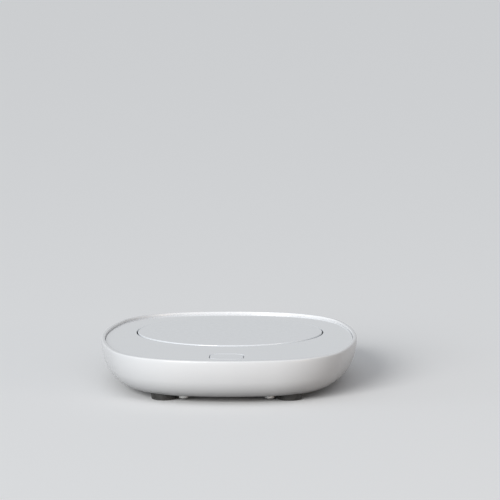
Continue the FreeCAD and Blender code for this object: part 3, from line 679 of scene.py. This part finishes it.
def plain_metal(name, colour, roughness, stretch=(1, 1, 1)):
    """Bare or plated metal with drawing marks and a little cloudiness."""
    finish = Finish(name, colour, roughness, Metallic=1.0)
    finish.tint(finish.noise(300, 3), darker(colour, 0.8))
    finish.gloss(finish.noise(1400, 4, 0.6, stretch), roughness - 0.07, roughness + 0.1)
    finish.relief(finish.noise(2400, 3, 0.6, stretch), 0.000004, 0.5)
    return finish.material


def zinc_flake():
    """The pale matt coat of small screws, with its flakes just seen."""
    finish = Finish("zinc_flake", (0.80, 0.80, 0.79), 0.45, Metallic=0.25)
    finish.tint(finish.noise(2600, 3), (0.66, 0.67, 0.67))
    finish.gloss(finish.noise(1800, 3), 0.38, 0.55)
    finish.relief(finish.noise(3200, 2), 0.000004, 0.4)
    return finish.material


def moulded(name, colour, roughness):
    """Plain moulded plastic with a fine grain."""
    finish = Finish(name, colour, roughness, IOR=1.5)
    finish.tint(finish.noise(150, 3), darker(colour, 0.86))
    finish.gloss(finish.noise(800, 4), roughness - 0.05, roughness + 0.08)
    finish.relief(finish.noise(2200, 3), 0.000008, 0.5)
    return finish.material


def insulation_felt():
    """Pressed ceramic fibre: matt, with strands lying every way."""
    finish = Finish("insulation_felt", (0.72, 0.71, 0.66), 0.9)
    finish.tint(finish.noise(900, 6, 0.7), (0.55, 0.54, 0.50))
    finish.relief(finish.noise(1500, 6, 0.75), 0.00008, 0.9)
    return finish.material


def heater_foil():
    """Amber film over an etched track that winds in rings."""
    finish = Finish("heater_foil", (0.42, 0.17, 0.035), 0.3, IOR=1.6)
    centred = finish.add("ShaderNodeMapping", Vector=finish.place)
    centred.inputs["Location"].default_value = (0, -plate_y, 0)
    rings = finish.add("ShaderNodeTexWave", Vector=centred.outputs["Vector"], Scale=130.0,
                       Distortion=0.6)
    rings.wave_type = "RINGS"
    rings.rings_direction = "Z"
    finish.tint(rings.outputs["Fac"], (0.30, 0.30, 0.31), 0.45, 0.6)
    finish.gloss(finish.noise(600, 3), 0.22, 0.38)
    finish.relief(rings.outputs["Fac"], 0.00003, 0.6)
    return finish.material


def circuit_board():
    """Green solder mask with the paler ridges of the tracks under it."""
    finish = Finish("circuit_board", (0.015, 0.11, 0.05), 0.3, IOR=1.5)
    tracks = finish.add("ShaderNodeTexBrick", Vector=finish.place, Scale=260.0)
    tracks.inputs["Mortar Size"].default_value = 0.035
    finish.tint(tracks.outputs["Fac"], (0.03, 0.20, 0.09), 0.2, 0.8)
    finish.gloss(finish.noise(700, 3), 0.25, 0.36)
    finish.relief(tracks.outputs["Fac"], 0.00002, 0.5)
    return finish.material


def lamp_resin():
    finish = Finish("lamp_resin", (0.85, 0.82, 0.62), 0.2, IOR=1.5, Transmission_Weight=0.3)
    finish.tint(finish.noise(900, 2), (0.78, 0.72, 0.45))
    finish.gloss(finish.noise(1500, 3), 0.15, 0.28)
    return finish.material


# Pieces
def wall_section():
    """The tray's wall: side, cover opening, ledge, inner face, groove under the panel, and rim."""
    seam_tilt = heel_tilt_at_inset(0, seam_inset - seam_round)
    section = side_points(0, 0, seam_tilt)
    z_lip = section[-1][1]
    section += [(seam_inset, z_lip + seam_round), (seam_inset, z_cover),
                (seam_inset + ledge_width, z_cover), (seam_inset + ledge_width, z_ledge)]
    inner_end = heel_tilt_at_height(wall, z_ledge)
    inner_start = math.asin((z_side_top - z_deck_under) / (upper_radius - wall))
    section += reversed(side_points(wall, inner_start, inner_end))
    z_neck = (z_deck_under + z_deck) / 2
    section += [(section[-1][0], z_neck), (rim_width, z_neck)]
    centre = (rim_width - rim_inner_round, z_rim - rim_inner_round)
    section += arc_of(centre, rim_inner_round, 0, math.pi / 2, round_steps)
    centre = (rim_outer_round, z_rim - rim_outer_round)
    section += arc_of(centre, rim_outer_round, math.pi / 2, math.pi, round_steps)[:-1]
    return section


def tray_wall(finish):
    """The wall, swept round the outline. A profile's X is laid outwards and its Y downwards."""
    outline = closed_line("outline", [centre + out * radius for centre, radius, out in tray_outline()])
    section = closed_line("section", [(-inset, -z, 0) for inset, z in wall_section()])
    wall_piece = grow("shell_moulding", wall_tree(),
                      {"Outline": outline, "Section": section, "Material": finish})
    for line in (outline, section):
        bpy.data.objects.remove(line)
    return wall_piece


def inlet_boss():
    """The boss round the plug's pocket, ended just inside the tray's outer face."""
    inner = inlet_y - inlet_wall
    boss = turned([(inlet_boss_radius, 0), (inlet_boss_radius, half_depth - inner)],
                  steps=boss_sides)
    piece = made("boss", lying_back(boss, (0, inner, inlet_z)))
    outer_form = skin(tray_outline(), side_points(fit_gap, 0, math.pi / 2))
    return taken(combine(piece, "INTERSECT", [outer_form]))


def inlet_cut(y0, y1, radius):
    cut = turned([(radius, 0), (radius, y1 - y0)], steps=pocket_sides)
    return lying_back(cut, (0, y0, inlet_z))


def shell_moulding(finish):
    """The white casing: its wall, the deck under the panel, the well and the pocket for the plug."""
    piece = tray_wall(finish)
    deck = skin(tray_outline(), [(rim_width - fit_gap, z_deck_under), (rim_width - fit_gap, z_deck)])
    plate_middle = (0, plate_y, 0)
    collar = turned([(well_outer_radius, z_well_under), (well_outer_radius, z_deck)], plate_middle)
    combine(piece, "UNION", [deck, collar, inlet_boss()])
    well = turned([(well_radius, z_well_floor), (well_radius, z_rim)], plate_middle)
    hole_radius = well_radius - well_floor_width
    hole = turned([(hole_radius, z_base), (hole_radius, z_rim)], plate_middle)
    button_hole = skin(button_outline(slide_gap), [(0, z_base), (0, z_rim)])
    pocket = inlet_cut(inlet_y, half_depth + overcut, inlet_pocket_radius)
    nose_hole = inlet_cut(inlet_y - inlet_wall - overcut, inlet_y + overcut,
                          inlet_nose_radius + fit_gap)
    combine(piece, "DIFFERENCE", [well, hole, button_hole, pocket, nose_hole])
    return shade(piece)


def on_pocket_mouth(edge):
    """Whether an edge lies where the plug's pocket breaks through the outside."""
    for vertex in edge.verts:
        away = math.hypot(vertex.co.x, vertex.co.z - inlet_z)
        if abs(away - inlet_pocket_radius) > fit_gap / 2 or vertex.co.y < inlet_y + fit_gap:
            return False
    return sharp(edge, mouth_angle)


def cover_moulding():
    """The bottom cover: it follows the tray's heel, with seats for the feet and a bare label place."""
    start = heel_tilt_at_inset(0, seam_inset + seam_gap + seam_round)
    section = side_points(0, start, math.pi / 2)
    edge = seam_inset + seam_gap
    section = [(edge, z_cover), (edge, section[0][1] + seam_round)] + section
    piece = made("cover_moulding", skin(tray_outline(), section))
    cuts = [skin(rounded_outline(label_width, label_depth, label_corner, Vector((0, 0, 0))),
                 [(0, 0), (0, z_base + label_recess)])]
    for name in feet:
        low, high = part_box(name)
        middle = ((low.x + high.x) / 2, (low.y + high.y) / 2, 0)
        radius = (high.x - low.x) / 2 + foot_gap
        cuts.append(turned([(radius, 0), (radius, high.z)], middle, foot_sides))
    for x in (-screw_spacing_x / 2, screw_spacing_x / 2):
        for y in (-screw_spacing_y / 2, screw_spacing_y / 2):
            radius = screw_radius + fit_gap
            cuts.append(turned([(radius, 0), (radius, z_cover + overcut)], (x, y, 0), small_sides))
    combine(piece, "DIFFERENCE", cuts)
    z_under = z_base + fit_gap
    ease_edges(piece, seam_round / 2, lambda e: sharp(e) and max(v.co.z for v in e.verts) < z_under)
    return shade(piece)


def panel_sheet():
    """The glossy sheet inside the rim, with eased edges round it and round both its openings."""
    inset = rim_width + fit_gap
    piece = made("panel_sheet", skin(tray_outline(), [(inset, z_panel_under), (inset, z_panel)]))
    hole = turned([(plate_hole_radius, z_deck), (plate_hole_radius, z_rim)], (0, plate_y, 0),
                  hole_sides)
    button_hole = skin(button_outline(button_gap), [(0, z_deck), (0, z_rim)])
    combine(piece, "DIFFERENCE", [hole, button_hole])
    z_top = z_panel - same_height
    ease_edges(piece, panel_edge_round, lambda e: sharp(e) and min(v.co.z for v in e.verts) > z_top)
    return shade(piece)


def plate_disc():
    """The round hot plate, with a rounded edge, and the bosses that its screws go into."""
    radius = plate_radius - plate_edge_round
    edge = arc_of((radius, z_plate - plate_edge_round), plate_edge_round, 0, math.pi / 2,
                  plate_round_steps)
    section = [(plate_radius, z_plate - plate_thickness)] + edge
    piece = made("plate_disc", turned(section, (0, plate_y, 0), plate_sides))
    bosses = []
    for i in range(3):
        angle = math.pi / 2 + 2 * math.pi * i / 3
        middle = (plate_boss_circle * math.cos(angle), plate_y + plate_boss_circle * math.sin(angle), 0)
        section = [(plate_boss_radius, z_pad_under), (plate_boss_radius, z_plate - plate_thickness / 2)]
        bosses.append(turned(section, middle, small_sides))
    return shade(combine(piece, "UNION", bosses))


def button_cap():
    """The push button: a rounded square cap with a hollow inside, a flange that stops it and a pip."""
    edge = arc_of((button_edge_round, z_panel - button_edge_round), button_edge_round,
                  math.pi, math.pi / 2, cap_round_steps)
    z_under = z_flange - button_flange_thickness
    section = [(0, z_cap_low), (0, z_under), (-button_flange, z_under), (-button_flange, z_flange),
               (0, z_flange)] + edge
    piece = made("button_cap", skin(button_outline(0), section))
    z_roof = z_panel - button_top
    hollow = skin(button_outline(-button_wall), [(0, z_cap_low - overcut), (0, z_roof)])
    combine(piece, "DIFFERENCE", [hollow])
    pip_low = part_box("tact_plunger")[1].z + slide_gap
    pip = turned([(button_pip_radius, pip_low), (button_pip_radius, z_roof + overcut / 2)],
                 (0, button_y, 0), small_sides)
    return shade(combine(piece, "UNION", [pip]))


def foot_pad(name, node):
    """A rubber foot: tapered, rounded at the bottom, with a shallow dish inside a grip ring."""
    low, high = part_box(node)
    middle = ((low.x + high.x) / 2, (low.y + high.y) / 2, 0)
    radius = (high.x - low.x) / 2
    narrow = radius - foot_taper
    rounding = arc_of((narrow - foot_bottom_round, foot_bottom_round), foot_bottom_round,
                      -math.pi / 2, 0, foot_round_steps)
    dish = narrow * foot_dish_share
    groove = arc_of((narrow * foot_groove_share, 0), foot_groove / 2, math.pi, 0, small_round_steps)
    section = [(dish * foot_dish_floor_share, foot_dish), (dish, 0)] + groove + rounding
    section += [(radius, z_base), (radius, high.z)]
    return shade(made(name, turned(section, middle, foot_sides)))


def screw_model():
    """A pan head with a cross recess and its shank, upright and upside down at the origin."""
    bulge = screw_head_height * screw_bulge_share
    head = arc_of((screw_head_radius - bulge, bulge - screw_head_height), bulge, -math.pi / 2, 0,
                  small_round_steps)
    section = head + [(screw_head_radius, 0), (screw_radius, 0), (screw_radius, z_cover)]
    piece = made("screw_model", turned(section, steps=small_sides))
    slots = []
    long, short = screw_head_radius * slot_length_share, screw_head_radius * slot_width_share
    for width, depth in ((short, long), (long, short)):
        slots.append(block(width, depth, -screw_head_height - overcut, -screw_head_height / 2, (0, 0),
                           screw_head_radius * slot_corner_share))
    return combine(piece, "DIFFERENCE", slots)


def screw_set(finish):
    model = screw_model()
    piece = grow("screw_set", screw_tree(),
                 {"Screw": model, "Spacing X": screw_spacing_x, "Spacing Y": screw_spacing_y,
                  "Height": z_base, "Seed": screw_turn_seed, "Material": finish})
    bpy.data.objects.remove(model)
    return shade(piece)


def inlet_socket():
    """The barrel socket: a round nose with a rounded mouth in front of its body."""
    mouth = arc_of((inlet_bore_radius + inlet_mouth_round, -inlet_mouth_round), inlet_mouth_round,
                   math.pi, math.pi / 2, mouth_steps)
    lip = arc_of((inlet_nose_radius - inlet_mouth_round, -inlet_mouth_round), inlet_mouth_round,
                 math.pi / 2, 0, mouth_steps)
    section = [(inlet_pin_radius, -inlet_bore_depth), (inlet_bore_radius, -inlet_bore_depth)]
    section += mouth + lip
    section += [(inlet_nose_radius, -inlet_wall), (inlet_nose_radius, inlet_low.y - inlet_y),
                (inlet_pin_radius, inlet_low.y - inlet_y)]
    nose = lying_back(turned(section, steps=socket_sides, closed=True), (0, inlet_y, inlet_z))
    piece = made("inlet_socket", nose)
    length = inlet_y - inlet_wall - inlet_low.y
    body = block(inlet_body_width, inlet_body_height, -length, 0, (0, 0), inlet_mouth_round)
    bore_radius = inlet_nose_radius - fit_gap
    bore = turned([(bore_radius, -length - overcut), (bore_radius, overcut)], steps=socket_sides)
    middle = (0, inlet_y - inlet_wall, inlet_z)
    casing = made("casing", lying_back(body, middle))
    combine(casing, "DIFFERENCE", [lying_back(bore, middle)])
    return shade(combine(piece, "UNION", [taken(casing)]))


def inlet_contact():
    """The socket's centre pin, with a rounded tip."""
    tip = arc_of((0, -inlet_pin_radius), inlet_pin_radius, 0, inlet_tip_turn, tip_steps)
    section = [(inlet_pin_radius, pin_low.y - pin_high.y)] + tip
    pin = lying_back(turned(section, steps=small_sides), (0, pin_high.y, inlet_z))
    return shade(made("inlet_contact", pin))


def coils(name, node, finish):
    """Springs in their CAD shape, copied into a piece of their own."""
    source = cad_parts[node]
    mesh = bmesh.new()
    mesh.from_mesh(source.data)
    mesh.transform(source.matrix_world)
    piece = shade(made(name, mesh))
    piece.data.materials.clear()
    piece.data.materials.append(finish)
    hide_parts(node)
    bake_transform(piece)


feet = {"foot_front_left": "front_left_pad", "foot_front_right": "front_right_pad",
        "foot_rear_left": "rear_left_pad", "foot_rear_right": "rear_right_pad"}
shell_finish = white_shell()
zinc = plain_metal("zinc_steel", (0.74, 0.75, 0.77), 0.34)
pale_zinc = zinc_flake()
black = moulded("black_plastic", (0.025, 0.025, 0.028), 0.4)
brass = plain_metal("tinned_brass", (0.62, 0.58, 0.45), 0.24)
# The feet's painted highlight reaches up their rounded lower edge.
foot_rubber = rubber("foot_rubber", (0.014, 0.013, 0.012), painted_highlight_height=foot_bottom_round)

shell = shell_moulding(shell_finish)
ease_edges(shell, rim_inner_round, on_pocket_mouth)
dressed(shade(shell), shell_finish, "base", "white_shell", "housing_shell")
dressed(cover_moulding(), white_cover(), "base", "white_cover", "bottom_cover")
dressed(panel_sheet(), gloss_panel(), "base", "gloss_panel", "top_panel")
dressed(plate_disc(), plate_coating(), "hot_plate", "plate_coating", "heating_plate")
dressed(button_cap(), button_plastic(), "power_button", "button_plastic", "power_button")
for node, name in feet.items():
    dressed(foot_pad(name, node), foot_rubber, "base", "foot_rubber", node)
dressed(screw_set(pale_zinc), pale_zinc, "base", "zinc_steel", "cover_screws")
dressed(inlet_socket(), black, "base", "black_plastic", "power_inlet")
dressed(inlet_contact(), brass, "base", "tinned_brass", "inlet_pin")

spring_steel = plain_metal("spring_steel", (0.42, 0.43, 0.45), 0.3)
coils("plate_coils", "plate_springs", spring_steel)
coils("button_coil", "button_spring", spring_steel)

# Pieces inside the tray keep their CAD shape
lead_red = rubber("lead_insulation", (0.50, 0.03, 0.02), 0.45)
lead_white = rubber("thin_lead_insulation", (0.70, 0.70, 0.70), 0.45)
board_green = circuit_board()
nylon = moulded("header_nylon", (0.70, 0.68, 0.60), 0.45)
plunger_red = moulded("plunger_plastic", (0.52, 0.04, 0.02), 0.35)
inner_finishes = {
    "panel_tape": moulded("adhesive_tape", (0.05, 0.05, 0.05), 0.6),
    "heater_film": heater_foil(),
    "insulation_pad": insulation_felt(),
    "plate_carrier": moulded("heat_resistant_plastic", (0.03, 0.03, 0.033), 0.6),
    "plate_seal": rubber("silicone_rubber", (0.02, 0.02, 0.022)),
    "plate_screws": zinc,
    "guide_screws": zinc,
    "temperature_sensor": moulded("sensor_epoxy", (0.01, 0.015, 0.08), 0.25),
    "thermal_fuse": plain_metal("fuse_metal", (0.65, 0.66, 0.68), 0.3, (1, 0.1, 1)),
    "fuse_clip": spring_steel,
    "weight_switch": black,
    "weight_switch_plunger": plunger_red,
    "switch_pins": zinc,
    "switch_tabs": brass,
    "button_board": board_green,
    "button_board_screws": zinc,
    "tact_switch": black,
    "tact_plunger": plunger_red,
    "status_leds": lamp_resin(),
    "main_board": board_green,
    "main_board_screws": zinc,
    "capacitor": moulded("capacitor_sleeve", (0.02, 0.03, 0.10), 0.2),
    "choke": moulded("ferrite", (0.03, 0.03, 0.032), 0.55),
    "power_transistor": black,
    "control_chip": black,
    "lead_headers": nylon,
    "board_link": nylon,
    "heater_leads": lead_red,
    "sensor_leads": lead_white,
    "switch_leads": lead_white,
    "inlet_leads": lead_red,
    "inlet_tabs": brass,
}
for node, finish in inner_finishes.items():
    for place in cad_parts[node].material_slots:
        place.material = finish


# Floor, light and camera
def seen_share(tree):
    """1 for rays that show a thing to the eye, in a mirror or through glass, 0 for rays that light."""
    path = tree.nodes.new("ShaderNodeLightPath")
    total = path.outputs["Is Camera Ray"]
    for other in ("Is Glossy Ray", "Is Transmission Ray"):
        most = tree.nodes.new("ShaderNodeMath")
        most.operation = "MAXIMUM"
        tree.links.new(total, most.inputs[0])
        tree.links.new(path.outputs[other], most.inputs[1])
        total = most.outputs["Value"]
    return total


def mix_seen(tree, lighting, seen, socket):
    """Feeds a socket with one colour for rays that light and another for rays that show."""
    mix = tree.nodes.new("ShaderNodeMix")
    mix.data_type = "RGBA"
    mix.inputs[mix_first].default_value = (*lighting, 1)
    mix.inputs[mix_second].default_value = (*seen, 1)
    tree.links.new(seen_share(tree), mix.inputs["Factor"])
    tree.links.new(mix.outputs[mix_result], socket)


def pale_floor():
    """A matt pale floor that throws less light on the object than its colour shows."""
    material = bpy.data.materials.new("pale_floor")
    material.use_nodes = True
    tree = material.node_tree
    shader = tree.nodes["Principled BSDF"]
    shader.inputs["Roughness"].default_value = floor_roughness
    shader.inputs["Specular IOR Level"].default_value = 0
    mix_seen(tree, floor_bounce, floor_colour, shader.inputs["Base Color"])
    return material


def floor():
    section = [(floor_radius, -floor_thickness), (floor_radius, 0)]
    piece = made("floor", turned(section, steps=floor_sides))
    piece.data.materials.append(pale_floor())


def sky():
    world = bpy.data.worlds.new("studio")
    world.use_nodes = True
    tree = world.node_tree
    mix_seen(tree, sky_light, sky_colour, tree.nodes["Background"].inputs["Color"])
    bpy.context.scene.world = world


def distant_lamp(name, azimuth, elevation, strength, spread, colour):
    """Even light from far off. Azimuth is counted from the front towards the right, in degrees."""
    data = bpy.data.lights.new(name, "SUN")
    data.energy = strength
    data.angle = math.radians(spread)
    data.color = colour
    lamp = bpy.data.objects.new(name, data)
    lamp.rotation_euler = (math.radians(90 - elevation), 0, math.radians(azimuth))
    bpy.context.scene.collection.objects.link(lamp)


def soft_lamp(name, place, aim, size, power, colour):
    data = bpy.data.lights.new(name, "AREA")
    data.shape = "RECTANGLE"
    data.size, data.size_y = size
    data.energy = power
    data.color = colour
    lamp = bpy.data.objects.new(name, data)
    lamp.location = place
    lamp.rotation_euler = (Vector(aim) - Vector(place)).to_track_quat("-Z", "Y").to_euler()
    bpy.context.scene.collection.objects.link(lamp)


def photo_camera():
    data = bpy.data.cameras.new("camera")
    data.sensor_width = sensor_width
    data.lens = view_focal_pixels * sensor_width / photo_pixels
    data.clip_start = nearest_seen
    data.clip_end = farthest_seen
    camera = bpy.data.objects.new("camera", data)
    back = Vector((0, -math.cos(view_rise), math.sin(view_rise)))
    camera.location = Matrix.Rotation(view_turn, 3, "Z") @ (view_aim + back * view_distance)
    camera.rotation_euler = (math.pi / 2 - view_rise, 0, view_turn)
    bpy.context.scene.collection.objects.link(camera)
    bpy.context.scene.camera = camera


floor_radius = 30
floor_thickness = 0.01
floor_sides = 96
floor_roughness = 0.7
floor_colour = (0.90, 0.90, 0.90)
floor_bounce = (0.18, 0.18, 0.18)
sky_colour = (0.64, 0.65, 0.66)
sky_light = (0.42, 0.435, 0.455)

floor()
sky()
distant_lamp("key", -28, 19, 2.35, 30, (1.0, 0.995, 0.98))
soft_lamp("strip", (-0.9, -1.7, 1.0), (0, 0, 0.01), (1.4, 0.4), 6.0, (0.97, 0.985, 1.0))
soft_lamp("left", (-1.0, -0.25, 0.22), (-0.04, 0, 0.01), (0.4, 0.3), 0.7, (0.78, 0.89, 1.0))
soft_lamp("right", (0.9, -0.6, 0.12), (0.04, 0, 0.01), (0.4, 0.2), 1.4, (1.0, 0.79, 0.62))
photo_camera()

bpy.context.scene.view_settings.view_transform = "Standard"
